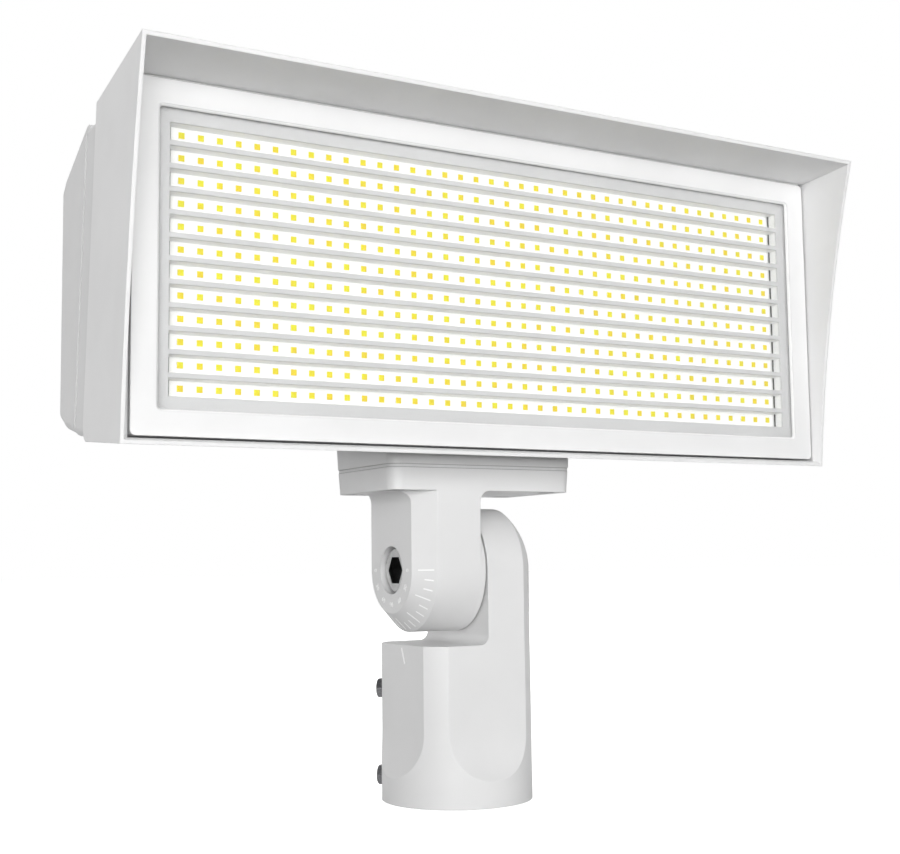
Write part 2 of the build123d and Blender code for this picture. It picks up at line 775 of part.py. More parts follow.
def make_door_gasket():
    """Seal between the door frame and the housing."""
    top = housing_top_z - gasket_inset
    bottom = housing_bottom_z + gasket_inset
    half_x = housing_half_x - gasket_inset
    ring = block(-half_x, half_x, door_rear_y, housing_front_y, bottom, top)
    return ring - panel(recess_half_x, recess_half_z, -far, far)


def make_lens():
    """Clear tempered glass."""
    return panel(glass_half_x, glass_half_z, glass_y, baffle_y, corner_r=glass_corner_r)


def make_lens_gasket():
    """Thin seal between the door's lip and the glass."""
    ring = panel(glass_half_x, glass_half_z, lens_gasket_y, glass_y, corner_r=glass_corner_r)
    return ring - panel(window_half_x + lens_gasket_step, window_half_z + lens_gasket_step, -far, far)


def make_baffle():
    """Plate with drafted slots that narrow towards the lamps."""
    plate = panel(pack_half_x, pack_half_z, baffle_y, strip_y)
    for z in slot_heights():
        plane = Plane(origin=(0, baffle_y, z), x_dir=(1, 0, 0), z_dir=(0, 1, 0))
        plate -= extrude(plane * Rectangle(2 * slot_half_x, slot_height), baffle_t, taper=slot_draft)
    for x, z in rivet_places():
        plate -= bar_y(rivet_r, -far, far, x, z)
    return plate


def rivet_places():
    """Centres of the rivets in the baffle's corners."""
    return [(x, head_z + z) for x in (-rivet_x, rivet_x) for z in (-rivet_z, rivet_z)]


def make_baffle_rivets():
    """Flush rivets through baffle and carrier."""
    rivets = []
    for x, z in rivet_places():
        rivets.append(bar_y(rivet_r, baffle_y, strip_y, x, z) + bar_y(rivet_shank_r, strip_y, ledge_y, x, z))
    return Compound(children=rivets)


def make_led_strip():
    """One board with its row of lamps, centred on its own height."""
    half_w = strip_width / 2
    board = block(-strip_half_x, strip_half_x, strip_y, carrier_y, -half_w, half_w)
    half = led_size / 2
    for column in range(led_count):
        x = led_pitch * (column - (led_count - 1) / 2)
        board += block(x - half, x + half, strip_y - led_t, strip_y, -half, half)
    return board


def carrier_screw_places():
    """Centres of the carrier's screws."""
    columns = (-carrier_screw_x, carrier_screw_x)
    return [(x, head_z + z) for x in columns for z in (-carrier_screw_z, carrier_screw_z)]


def make_led_carrier():
    """Aluminium plate that carries the strips."""
    plate = panel(pack_half_x, pack_half_z, carrier_y, ledge_y)
    for x, z in rivet_places():
        plate -= bar_y(rivet_shank_r, -far, far, x, z)
    for x, z in carrier_screw_places():
        plate -= bar_y(m3_r, -far, far, x, z)
    return plate


def make_carrier_screws():
    """Low head screws that hold the carrier to the ledge."""
    screws = []
    for x, z in carrier_screw_places():
        head = bar_y(carrier_screw_head_r, carrier_y - carrier_screw_head_t, carrier_y, x, z)
        screws.append(head + bar_y(m3_r, carrier_y, housing_front_y + ledge_t, x, z))
    return Compound(children=screws)


def make_driver_bracket():
    """Plate on the bay's rear wall."""
    rear = bracket_y + bracket_t
    plate = block(-bracket_half_x, bracket_half_x, bracket_y, rear, bracket_low_z, bracket_top_z)
    for x in (-bracket_screw_x, bracket_screw_x):
        plate -= bar_y(m3_r, -far, far, x, gear_z)
    return plate


def make_bracket_screws():
    """Screws that hold the bracket."""
    screws = []
    for x in (-bracket_screw_x, bracket_screw_x):
        head = bar_y(m3_head_r, bracket_y - m3_head_t, bracket_y, x, gear_z)
        screws.append(head + bar_y(m3_r, bracket_y, cover_rear_y - blind_end, x, gear_z))
    return Compound(children=screws)


def gear_box(x, size):
    """Box of size (x, y, z) on the bracket, centred at x."""
    return Pos(x, bracket_y - size[1] / 2, gear_z) * Box(*size)


def make_driver():
    """Power supply in a drawn metal case."""
    case = gear_box(driver_x, driver_size)
    return fillet(case.edges().filter_by(Axis.X), driver_corner_r)


def make_surge_protector():
    """Moulded surge block."""
    case = gear_box(surge_x, surge_size)
    return fillet(case.edges().filter_by(Axis.Y), driver_corner_r)


def make_terminal_block():
    """Terminal block with a wire entry for each way."""
    body = gear_box(terminal_x, terminal_size)
    pitch = terminal_size[2] / terminal_ways
    for way in range(terminal_ways):
        z = gear_z + pitch * (way - (terminal_ways - 1) / 2)
        body -= bar_y(pitch / 3, -far, bracket_y - terminal_size[1] / 2, terminal_x, z)
    return body


def hood_envelope():
    """Flared outside of the hood, cut to its side outline."""
    def section(y):
        half_x = hood_half_x_at(y)
        low, high = hood_bottom_at(y), hood_top_at(y)
        corners = [(-half_x, y, low), (half_x, y, low), (half_x, y, high), (-half_x, y, high)]
        return make_face(Polyline(corners, close=True))
    flare = loft([section(hood_front_y - past), section(rear_y)], ruled=True)
    low_y = hood_rear_at(hood_chin_z)
    high_y = hood_rear_at(hood_front_top_z + past)
    front_edge = ThreePointArc((0, hood_chin_y, hood_chin_z), (0, hood_brow_y, hood_brow_z),
                               (0, hood_front_y, hood_front_top_z))
    rest = Polyline([
        (0, hood_front_y, hood_front_top_z),
        (0, hood_front_y, hood_front_top_z + past),
        (0, high_y, hood_front_top_z + past),
        (0, low_y, hood_chin_z),
        (0, hood_chin_y, hood_chin_z),
    ])
    side = extrude(make_face(front_edge + rest), far, both=True)
    return flare & side


def hood_front_cavity():
    """Ruled walls from the door's outline to the inside of the curved front edge, and past it."""
    reach = hood_cavity_reach
    back_x = door_half_x + hood_gap
    back_low = head_z - door_half_z - hood_gap
    back_high = head_z + door_half_z + hood_gap

    def stretched(edge_y, edge_z, back_z, inset_z):
        edge_x = hood_half_x_at(edge_y) - hood_edge_t
        along = (edge_x - back_x, edge_y - door_front_y, edge_z - inset_z - back_z)
        return (back_x + along[0] * reach, door_front_y + along[1] * reach, back_z + along[2] * reach)

    mid_z = (back_low + back_high) / 2
    low = stretched(hood_chin_y, hood_chin_z, back_low, -hood_edge_t)
    mid = stretched(hood_brow_y, hood_brow_z, mid_z, 0)
    high = stretched(hood_front_y, hood_front_top_z, back_high, hood_edge_t)

    def mirrored(point, side):
        return (side * point[0], point[1], point[2])

    edges = {}
    for side in (-1, 1):
        ends = [(side * back_x, door_front_y, z) for z in (back_low, back_high)]
        back_line = Edge.make_line(*ends)
        front_arc = Edge.make_three_point_arc(mirrored(low, side), mirrored(mid, side), mirrored(high, side))
        edges[side] = (back_line, front_arc)
    left, right = edges[-1], edges[1]
    low_back = Edge.make_line((-back_x, door_front_y, back_low), (back_x, door_front_y, back_low))
    high_back = Edge.make_line((-back_x, door_front_y, back_high), (back_x, door_front_y, back_high))
    low_front = Edge.make_line(mirrored(low, -1), low)
    high_front = Edge.make_line(mirrored(high, -1), high)
    faces = [
        Face.make_surface_from_curves(*left),
        Face.make_surface_from_curves(*right),
        Face.make_surface_from_curves(low_back, low_front),
        Face.make_surface_from_curves(high_back, high_front),
        Face.make_surface_from_curves(left[0], right[0]),
        Face.make_surface_from_curves(left[1], right[1]),
    ]
    cavity = Solid(Shell(faces))
    return cavity if cavity.volume > 0 else -cavity


def make_visor():
    """Flared hood, open in front, with a notch round the pad."""
    shape = hood_envelope() - hood_front_cavity()
    shape -= panel(door_half_x + hood_gap, door_half_z + hood_gap, door_front_y, housing_front_y)
    inner_top = housing_top_z + hood_top_gap
    shape -= side_prism([
        (housing_front_y, hood_bottom_at(housing_front_y) + hood_bottom_t),
        (housing_front_y, inner_top),
        (far, inner_top),
        (far, hood_bottom_at(far) + hood_bottom_t),
    ], housing_half_x + hood_side_gap)
    notch_x = pad_half_x + hood_notch_gap
    notch_y = -pad_half_y - hood_notch_gap
    notch = block(-notch_x, notch_x, notch_y, far, 0, head_z)
    front_corners = notch.edges().filter_by(Axis.Z).sort_by(Axis.Y)[:2]
    shape -= fillet(front_corners, hood_notch_corner_r)
    shape -= heel_rounding()
    half = hood_boss_half
    y0, y1 = hood_screw_y - half, hood_screw_y + half
    low_z = hood_bottom_at(hood_screw_y) + hood_bottom_t / 2
    for x in (-hood_screw_x, hood_screw_x):
        shape += block(x - half, x + half, y0, y1, housing_top_z, inner_top + hood_bottom_t)
        shape += block(x - half, x + half, y0, y1, low_z, head_z) & under_housing()
    for place, screw in visor_screw_places():
        shape -= place * (screw + bar_z(m4_head_r + m4_head_gap, 0, past))
    return shape


def visor_screw_places():
    """Place and solid of each screw through the hood, its head just below the hood's skin."""
    top_z = hood_top_at(hood_screw_y) - m4_head_sink
    low_z = hood_bottom_at(hood_screw_y) + m4_head_sink
    top_length = top_z - (housing_top_z - m4_bite + blind_end)
    low_length = bottom_face_z(hood_screw_y) + m4_bite - blind_end - low_z
    places = []
    for x in (-hood_screw_x, hood_screw_x):
        top_place = Pos(x, hood_screw_y, top_z)
        low_place = Pos(x, hood_screw_y, low_z) * Rot(180, 0, 0)
        places.append((top_place, countersunk(m4_r, m4_head_r, top_length)))
        places.append((low_place, countersunk(m4_r, m4_head_r, low_length)))
    return places


def heel_rounding():
    """What the hood's rounded rear corner takes away."""
    heel_y = hood_rear_at(hood_chin_z)
    low_z = hood_bottom_at(heel_y)
    lean = math.atan(hood_rear_slope)
    rise = math.atan(bottom_slope)
    opening = math.pi / 2 + lean + rise
    setback = hood_corner_r / math.tan(opening / 2)
    heel = (heel_y - hood_rear_slope * (low_z - hood_chin_z), low_z)
    on_bottom = (heel[0] - setback * math.cos(rise), heel[1] - setback * math.sin(rise))
    on_rear = (heel[0] - setback * math.sin(lean), heel[1] + setback * math.cos(lean))
    centre = (on_bottom[0] - hood_corner_r * math.sin(rise), on_bottom[1] + hood_corner_r * math.cos(rise))
    tip = math.dist(centre, heel)
    middle = tuple(c + (h - c) * hood_corner_r / tip for c, h in zip(centre, heel))
    arc = ThreePointArc((0, *on_bottom), (0, *middle), (0, *on_rear))
    outside = Polyline([
        (0, *on_rear),
        (0, on_rear[0] + past, on_rear[1]),
        (0, heel[0] + past, heel[1] - past),
        (0, on_bottom[0], on_bottom[1] - past),
        (0, *on_bottom),
    ])
    return extrude(make_face(arc + outside), far, both=True)


def under_housing():
    """Space below the housing's rising bottom."""
    return side_prism([
        (-far, bottom_face_z(-far)),
        (far, bottom_face_z(far)),
        (far, -far),
        (-far, -far),
    ], far)


def make_visor_screws():
    """Four countersunk screws that hold the hood to the housing."""
    socket = hex_socket(m4_socket_af)
    return Compound(children=[place * (screw - socket) for place, screw in visor_screw_places()])


def all_parts():
    """Every node by name."""
    parts = {
        "slipfitter": make_slipfitter(),
        "knuckle_arm": make_knuckle_arm(),
        "pivot_bolt": make_pivot_bolt(),
        "pivot_nut": make_pivot_nut(),
        "pivot_washer": make_washer(washer_r, lug_pocket_x, lug_pocket_x + washer_t),
        "friction_washer": make_washer(friction_washer_r, arm_gap, lug_x),
        "flange_gasket": make_flange_gasket(),
        "flange_screws": make_flange_screws(),
        "housing": make_housing(),
        "wire_bushing": make_wire_bushing(),
        "housing_gasket": make_housing_gasket(),
        "rear_cover": make_rear_cover(),
        "cover_screws": make_cover_screws(),
        "breather_vent": make_breather_vent(),
        "door_frame": make_door_frame(),
        "door_screws": make_door_screws(),
        "door_gasket": make_door_gasket(),
        "lens": make_lens(),
        "lens_gasket": make_lens_gasket(),
        "baffle": make_baffle(),
        "baffle_rivets": make_baffle_rivets(),
        "led_carrier": make_led_carrier(),
        "carrier_screws": make_carrier_screws(),
        "driver_bracket": make_driver_bracket(),
        "bracket_screws": make_bracket_screws(),
        "driver": make_driver(),
        "surge_protector": make_surge_protector(),
        "terminal_block": make_terminal_block(),
        "visor": make_visor(),
        "visor_screws": make_visor_screws(),
    }
    for number, (bearing, z) in enumerate(set_screw_places(), start=1):
        parts[f"set_screw_{number}"] = make_set_screw(bearing, z)
    strip = make_led_strip()
    for number, z in enumerate(slot_heights(), start=1):
        parts[f"led_strip_{number:02d}"] = Pos(0, 0, z) * strip
    return parts


os.makedirs("parts", exist_ok=True)
for node, shape in all_parts().items():
    export_step(shape, f"parts/{node}.step")
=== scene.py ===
import json
import math

import bmesh
import bpy
import numpy as np
from mathutils import Matrix, Vector


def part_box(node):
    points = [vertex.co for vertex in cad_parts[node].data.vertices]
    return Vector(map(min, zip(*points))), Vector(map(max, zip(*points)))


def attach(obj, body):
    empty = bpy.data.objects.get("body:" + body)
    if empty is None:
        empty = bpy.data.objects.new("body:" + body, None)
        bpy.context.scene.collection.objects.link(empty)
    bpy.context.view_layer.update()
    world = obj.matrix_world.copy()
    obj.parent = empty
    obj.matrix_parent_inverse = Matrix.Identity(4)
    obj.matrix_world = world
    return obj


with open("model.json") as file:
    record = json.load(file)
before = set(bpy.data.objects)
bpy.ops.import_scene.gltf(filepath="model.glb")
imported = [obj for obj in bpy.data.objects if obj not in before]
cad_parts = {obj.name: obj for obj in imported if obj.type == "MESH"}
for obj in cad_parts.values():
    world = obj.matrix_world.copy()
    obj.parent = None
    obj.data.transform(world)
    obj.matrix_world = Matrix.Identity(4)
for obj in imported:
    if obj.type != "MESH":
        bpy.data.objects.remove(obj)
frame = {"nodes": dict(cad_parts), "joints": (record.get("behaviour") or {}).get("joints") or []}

# Area floodlight on a slipfitter: white powder-coated casting, slotted baffle and LED boards
# behind clear glass. The light shines towards -Y, the tilt axis is X, Z is up. Metres.

MM = 0.001

# Camera of the photograph
CAMERA_PLACE = (-0.37943, -0.65292, 0.12685)
CAMERA_RIGHT = (0.86610, -0.49971, -0.01245)
CAMERA_UP = (-0.03792, -0.09052, 0.99517)
CAMERA_LENS_MM = 54.79
SENSOR_MM = 36.0
CAMERA_CLIP_M = (0.01, 50.0)

# Degree scale on the hub, with its numbers round the bolt, and the index line under it
TICK_STEP_DEG = 10
TICK_LAST_DEG = 90
TICK_LONG_EVERY = 3
TICK_LONG_MM = 8.6
TICK_SHORT_MM = 5.0
TICK_WIDTH_MM = 0.62
TICK_RISE_MM = 0.12
TICK_OUTER_MM = 31.6
HUB_LEFT_MM = -39.1
HUB_R_MM = 33.1
HUB_CHAMFER_MM = 10.1
NUMBER_RING_MM = 18.4
NUMBER_HEIGHT_MM = 3.6
NUMBER_CURVE_STEPS = 3
SLEEVE_FLAT_MM = -33.1
POINTER_FOOT_MM = (-3.2, 72.8)
POINTER_TIP_MM = (0.2, 81.0)
POINTER_WIDTH_MM = 1.1

# Lamps on each board
LED_COUNT = 39
LED_PITCH_MM = 9.317
PHOSPHOR_MM = 2.96
PHOSPHOR_CROWN_MM = 0.06
PHOSPHOR_GAP_MM = 0.01
PHOSPHOR_STEPS = 5
# Width of the painted shade strip at each end of a board
END_SHADE_MM = 1.1

# Seals. The foam strip has a half width, a front, a back and a thickness. The glass bead's section
# is given by how far each point stands in from the lip and off the glass.
# Width of the painted shade along the flange gasket's top and bottom creases
CREASE_SHADE_MM = 0.45
FOAM_STRIP_MM = (200.5, -67.4, -60.0, 1.05)
FOAM_BOW_MM = 0.4
FOAM_GAP_MM = 0.02
FOAM_STEPS = 7
WINDOW_HALF_MM = (190.6, 69.95)
WINDOW_CORNER_MM = 2.5
GLASS_BEAD_MM = ((0.02, 1.32), (0.3, 1.26), (0.6, 1.0), (0.85, 0.55), (0.95, 0.02), (0.02, 0.02))
SEAM_MM = 1.0
SEAM_BEAD_RISE_MM = 0.6
SEAM_BEAD_END_MM = 3.0
BEAD_STEPS = 9

# Patterns and rounded edges of the materials, and where painted light and shade start and end
COAT_CLOUD_MM = 45
COAT_HANDLING_MM = 14
COAT_PEEL_MM = 1.1
COAT_EDGE_MM = 0.7
COAT_SHEEN_DRIFT = 0.05
# Painted light on the baffle's slot walls: where the whitening starts and ends behind the plate's face
WALL_LIGHT_MM = (0.2, 1.2)
RUBBER_BLOOM_MM = 3
RUBBER_GRAIN_MM = 0.6
RUBBER_RELIEF_MM = 0.01
METAL_EDGE_MM = 0.25
BOLT_TURNING_MM = 2.5
# Painted shade in the bolt's socket: where the darkening starts and ends behind the head's face
BOLT_SOCKET_SHADE_MM = (0.5, 1.2)
BOLT_EDGE_MM = 0.35
PLASTIC_CLOUD_MM = 9
PLASTIC_GRAIN_MM = 0.4
PLASTIC_RELIEF_MM = 0.006
MASK_CLOUD_MM = 6
MASK_WEAVE_MM = 0.8
PHOSPHOR_BATCH_MM = 7
FINE_RELIEF_MM = 0.004
EDGE_SAMPLES = 6

# Studio. Each softbox has a name, a place, a size and its watts; those in SHINING show in reflections.
FLOOR_HALF_M = 12.0
FLOOR_BOUNCE = "#8C8C8C"
FLOOR_GLOW = 0.75
SKY_STRENGTH = 0.26
SKY_IN_GLOSS = 0.6
LIGHT_TARGET = (0.0, 0.0, 0.22)
SHINING = ("front_left_softbox",)
SOFTBOXES = (
    ("front_softbox", (-0.3, -2.4, 0.3), (2.0, 1.6), 38.0),
    ("low_strip", (-0.3, -2.4, 0.12), (2.4, 0.24), 13.0),
    ("front_left_softbox", (-1.6, -1.9, 0.3), (1.0, 1.0), 21.0),
    ("left_softbox", (-2.3, -0.8, 0.3), (1.6, 1.2), 5.0),
    ("left_rear_softbox", (-1.6, 1.8, 0.4), (1.6, 1.2), 20.0),
    ("back_softbox", (1.7, 1.8, 0.9), (1.6, 1.6), 30.0),
    ("top_softbox", (0.0, 0.3, 2.4), (1.6, 1.2), 17.0),
)


def linear(hex_colour):
    """sRGB hex to the linear colour that a shader takes."""
    parts = [int(hex_colour[i:i + 2], 16) / 255 for i in (1, 3, 5)]
    return tuple(p / 12.92 if p <= 0.04045 else ((p + 0.055) / 1.055) ** 2.4 for p in parts) + (1.0,)


def node(tree, kind, links=None, stops=None, **settings):
    """Adds a node. links maps a socket's name or number to the output that feeds it, settings fill
    sockets by name, or the node's own values, and stops gives a ramp's two places and colours."""
    made = tree.nodes.new("ShaderNode" + kind)
    for name, value in settings.items():
        if hasattr(made, name):
            setattr(made, name, value)
        else:
            made.inputs[name.replace("_", " ")].default_value = value
    for element, (place, colour) in zip(made.color_ramp.elements if stops else (), stops or ()):
        element.position = place
        element.color = linear(colour)
    for key, output in (links or {}).items():
        tree.links.new(output, made.inputs[key])
    return made


def start_material(name, roughness, **values):
    """New material with a Principled shader, and its object coordinates."""
    material = bpy.data.materials.new(name)
    material.use_nodes = True
    tree = material.node_tree
    shader = tree.nodes["Principled BSDF"]
    shader.inputs["Roughness"].default_value = roughness
    for key, value in values.items():
        shader.inputs[key.replace("_", " ")].default_value = value
    place = node(tree, "TexCoord").outputs["Object"]
    return material, tree, shader, place


def powder_coat(name, low, high, roughness, inner=None):
    """Polyester powder coat on die-cast aluminium: a satin white skin that drifts a little in tone,
    a fine orange peel that breaks up the sheen, edges that the melt has rounded, and faint handling
    marks that are a touch glossier. inner is a brighter white and the y of a plate's face: the slot
    walls behind that face take this white as painted light, standing in for the light that the
    boards throw back onto them."""
    material, tree, shader, place = start_material(name, roughness, IOR=1.5)
    cloud = node(tree, "TexNoise", {"Vector": place}, Scale=1 / (COAT_CLOUD_MM * MM), Detail=2.0)
    tone = node(tree, "ValToRGB", {"Fac": cloud.outputs["Fac"]}, [(0.35, low), (0.65, high)])
    colour = tone.outputs["Color"]
    # Painted light: the slot walls behind the plate's face take a brighter white, standing in for light
    # the boards throw back onto them
    if inner:
        white, face_y = inner
        start, end = WALL_LIGHT_MM
        parts = node(tree, "SeparateXYZ", {"Vector": place})
        behind = node(tree, "MapRange", {"Value": parts.outputs["Y"]}, From_Min=face_y + start * MM,
                      From_Max=face_y + end * MM)
        colour = node(tree, "MixRGB", {0: behind.outputs["Result"], 1: colour},
                      Color2=linear(white)).outputs[0]
    tree.links.new(colour, shader.inputs["Base Color"])
    handling = node(tree, "TexNoise", {"Vector": place}, Scale=1 / (COAT_HANDLING_MM * MM), Detail=5.0)
    sheen = node(tree, "MapRange", {"Value": handling.outputs["Fac"]}, From_Min=0.3, From_Max=0.7,
                 To_Min=roughness - COAT_SHEEN_DRIFT, To_Max=roughness + COAT_SHEEN_DRIFT)
    tree.links.new(sheen.outputs["Result"], shader.inputs["Roughness"])
    peel = node(tree, "TexNoise", {"Vector": place}, Scale=1 / (COAT_PEEL_MM * MM), Detail=1.0)
    edge = node(tree, "Bevel", samples=EDGE_SAMPLES, Radius=COAT_EDGE_MM * MM)
    links = {"Height": peel.outputs["Fac"], "Normal": edge.outputs["Normal"]}
    bump = node(tree, "Bump", links, Distance=FINE_RELIEF_MM * MM, Strength=0.6)
    tree.links.new(bump.outputs["Normal"], shader.inputs["Normal"])
    return material


def clear_glass():
    """Tempered soda-lime glass: colourless, so light passes straight to what is behind it, with a
    faint skin of reflection."""
    material, tree, shader, _ = start_material("tempered_glass", 0.0, IOR=1.5,
                                               Transmission_Weight=1.0, Base_Color=linear("#FCFDFD"))
    path = node(tree, "LightPath")
    links = {0: path.outputs["Is Shadow Ray"], 1: path.outputs["Is Diffuse Ray"]}
    indirect = node(tree, "Math", links, operation="MAXIMUM")
    through = node(tree, "BsdfTransparent")
    links = {0: indirect.outputs[0], 1: shader.outputs[0], 2: through.outputs[0]}
    mix = node(tree, "MixShader", links)
    tree.links.new(mix.outputs[0], tree.nodes["Material Output"].inputs["Surface"])
    return material


def rubber(name, low, high):
    """Moulded silicone rubber: matt, with a dusty bloom and the mould's fine grain."""
    material, tree, shader, place = start_material(name, 0.75, IOR=1.45)
    bloom = node(tree, "TexNoise", {"Vector": place}, Scale=1 / (RUBBER_BLOOM_MM * MM), Detail=2.0)
    tone = node(tree, "ValToRGB", {"Fac": bloom.outputs["Fac"]}, [(0.4, low), (1.0, high)])
    tree.links.new(tone.outputs["Color"], shader.inputs["Base Color"])
    grain = node(tree, "TexNoise", {"Vector": place}, Scale=1 / (RUBBER_GRAIN_MM * MM), Detail=2.0)
    bump = node(tree, "Bump", {"Height": grain.outputs["Fac"]}, Distance=RUBBER_RELIEF_MM * MM,
                Strength=0.5)
    tree.links.new(bump.outputs["Normal"], shader.inputs["Normal"])
    return material


def pinched_rubber(name, low, high, crease_shade, box):
    """Silicone gasket squeezed between two castings: its tone is near theirs, with painted shade as a
    thin darker line along its top and bottom, over the last stretch towards either casting, where shade
    falls in the creases."""
    material, tree, shader, place = start_material(name, 0.7, IOR=1.45)
    bloom = node(tree, "TexNoise", {"Vector": place}, Scale=1 / (RUBBER_BLOOM_MM * MM), Detail=2.0)
    tone = node(tree, "ValToRGB", {"Fac": bloom.outputs["Fac"]}, [(0.4, low), (1.0, high)])
    parts = node(tree, "SeparateXYZ", {"Vector": place})
    foot, head = box[0][2], box[1][2]
    middle, half = (foot + head) / 2, (head - foot) / 2
    above = node(tree, "Math", {0: parts.outputs["Z"]}, operation="SUBTRACT")
    above.inputs[1].default_value = middle
    away = node(tree, "Math", {0: above.outputs[0]}, operation="ABSOLUTE")
    lip = node(tree, "MapRange", {"Value": away.outputs[0]}, From_Min=half - CREASE_SHADE_MM * MM,
               From_Max=half - CREASE_SHADE_MM * MM / 2)
    # Painted shade: the colour goes darker at the gasket's top and bottom, where shade falls in the
    # creases
    colour = node(tree, "MixRGB", {0: lip.outputs["Result"], 1: tone.outputs["Color"]},
                  Color2=linear(crease_shade))
    tree.links.new(colour.outputs[0], shader.inputs["Base Color"])
    return material


def metal(name, low, high, roughness, grain_mm):
    """Bare or plated metal: a fine grain from rolling or turning, and rounded edges that glint."""
    material, tree, shader, place = start_material(name, roughness, Metallic=1.0)
    grain = node(tree, "TexNoise", {"Vector": place}, Scale=1 / (grain_mm * MM), Detail=3.0)
    tone = node(tree, "ValToRGB", {"Fac": grain.outputs["Fac"]}, [(0.3, low), (0.7, high)])
    tree.links.new(tone.outputs["Color"], shader.inputs["Base Color"])
    edge = node(tree, "Bevel", samples=EDGE_SAMPLES, Radius=METAL_EDGE_MM * MM)
    links = {"Height": grain.outputs["Fac"], "Normal": edge.outputs["Normal"]}
    bump = node(tree, "Bump", links, Distance=FINE_RELIEF_MM * MM, Strength=0.5)
    tree.links.new(bump.outputs["Normal"], shader.inputs["Normal"])
    return material


def bolt_steel(name, low, high, socket, face_x):
    """Stainless bolt: bright turned steel, with painted shade in its socket: from just behind the
    head's face at face_x the colour goes darker, where shade falls in the recess, and the socket still
    glints along its corners."""
    material, tree, shader, place = start_material(name, 0.2, Metallic=1.0)
    turning = node(tree, "TexNoise", {"Vector": place}, Scale=1 / (BOLT_TURNING_MM * MM), Detail=2.0)
    tone = node(tree, "ValToRGB", {"Fac": turning.outputs["Fac"]}, [(0.3, low), (0.7, high)])
    # Painted shade: the colour goes darker from just behind the head's face, where shade falls in the
    # socket
    start, end = BOLT_SOCKET_SHADE_MM
    parts = node(tree, "SeparateXYZ", {"Vector": place})
    depth = node(tree, "MapRange", {"Value": parts.outputs["X"]}, From_Min=face_x + start * MM,
                 From_Max=face_x + end * MM)
    colour = node(tree, "MixRGB", {0: depth.outputs["Result"], 1: tone.outputs["Color"]},
                  Color2=linear(socket))
    tree.links.new(colour.outputs[0], shader.inputs["Base Color"])
    edge = node(tree, "Bevel", samples=EDGE_SAMPLES, Radius=BOLT_EDGE_MM * MM)
    tree.links.new(edge.outputs["Normal"], shader.inputs["Normal"])
    return material


def plastic(name, low, high, roughness):
    """Moulded plastic: even colour with a spark-eroded grain."""
    material, tree, shader, place = start_material(name, roughness, IOR=1.49)
    cloud = node(tree, "TexNoise", {"Vector": place}, Scale=1 / (PLASTIC_CLOUD_MM * MM), Detail=2.0)
    tone = node(tree, "ValToRGB", {"Fac": cloud.outputs["Fac"]}, [(0.3, low), (0.7, high)])
    tree.links.new(tone.outputs["Color"], shader.inputs["Base Color"])
    grain = node(tree, "TexNoise", {"Vector": place}, Scale=1 / (PLASTIC_GRAIN_MM * MM), Detail=2.0)
    bump = node(tree, "Bump", {"Height": grain.outputs["Fac"]}, Distance=PLASTIC_RELIEF_MM * MM,
                Strength=0.5)
    tree.links.new(bump.outputs["Normal"], shader.inputs["Normal"])
    return material


def solder_mask():
    """White solder mask on a board: bright and semi-gloss, its tone just off even over the copper,
    with the weave of the board faintly in its surface."""
    material, tree, shader, place = start_material("white_solder_mask", 0.4, IOR=1.5)
    cloud = node(tree, "TexNoise", {"Vector": place}, Scale=1 / (MASK_CLOUD_MM * MM), Detail=2.0)
    tone = node(tree, "ValToRGB", {"Fac": cloud.outputs["Fac"]}, [(0.3, "#F6F6F3"), (0.7, "#FBFBF9")])
    tree.links.new(tone.outputs["Color"], shader.inputs["Base Color"])
    weave = node(tree, "TexNoise", {"Vector": place}, Scale=1 / (MASK_WEAVE_MM * MM), Detail=1.0)
    bump = node(tree, "Bump", {"Height": weave.outputs["Fac"]}, Distance=FINE_RELIEF_MM * MM,
                Strength=0.4)
    tree.links.new(bump.outputs["Normal"], shader.inputs["Normal"])
    return material


def phosphor():
    """Silicone over yellow phosphor in each LED: a clean saturated yellow, a little uneven from
    lamp to lamp, with a smooth wet-looking skin."""
    material, tree, shader, place = start_material("led_phosphor", 0.35, IOR=1.41)
    batch = node(tree, "TexNoise", {"Vector": place}, Scale=1 / (PHOSPHOR_BATCH_MM * MM), Detail=1.0)
    tone = node(tree, "ValToRGB", {"Fac": batch.outputs["Fac"]}, [(0.35, "#E8CE06"), (0.65, "#E5DF02")])
    tree.links.new(tone.outputs["Color"], shader.inputs["Base Color"])
    return material


def give(material, *names):
    """Puts a material on CAD nodes."""
    for name in names:
        mesh = frame["nodes"][name].data
        mesh.materials.clear()
        mesh.materials.append(material)


def piece(name, mesh, material, body):
    """New mesh piece that rides on a body."""
    mesh.materials.clear()
    mesh.materials.append(material)
    mesh.update()
    made = bpy.data.objects.new(name, mesh)
    bpy.context.scene.collection.objects.link(made)
    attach(made, body)


def mesh_from(name, points, faces):
    """Mesh from rows of points, and for each face the numbers of its corners."""
    mesh = bpy.data.meshes.new(name)
    mesh.from_pydata([tuple(map(float, point)) for point in points], [],
                     [tuple(map(int, face)) for face in faces])
    return mesh


def face_outwards(mesh):
    """Turns every face of closed shapes outwards."""
    work = bmesh.new()
    work.from_mesh(mesh)
    bmesh.ops.recalc_face_normals(work, faces=work.faces)
    work.to_mesh(mesh)
    work.free()


def prism_faces(first, count):
    """Faces of a closed prism between two sections of count points each, the first of which is
    point number first."""
    sides = [(first + i, first + (i + 1) % count, first + count + (i + 1) % count, first + count + i)
             for i in range(count)]
    return sides + [range(first, first + count), range(first + count, first + 2 * count)]


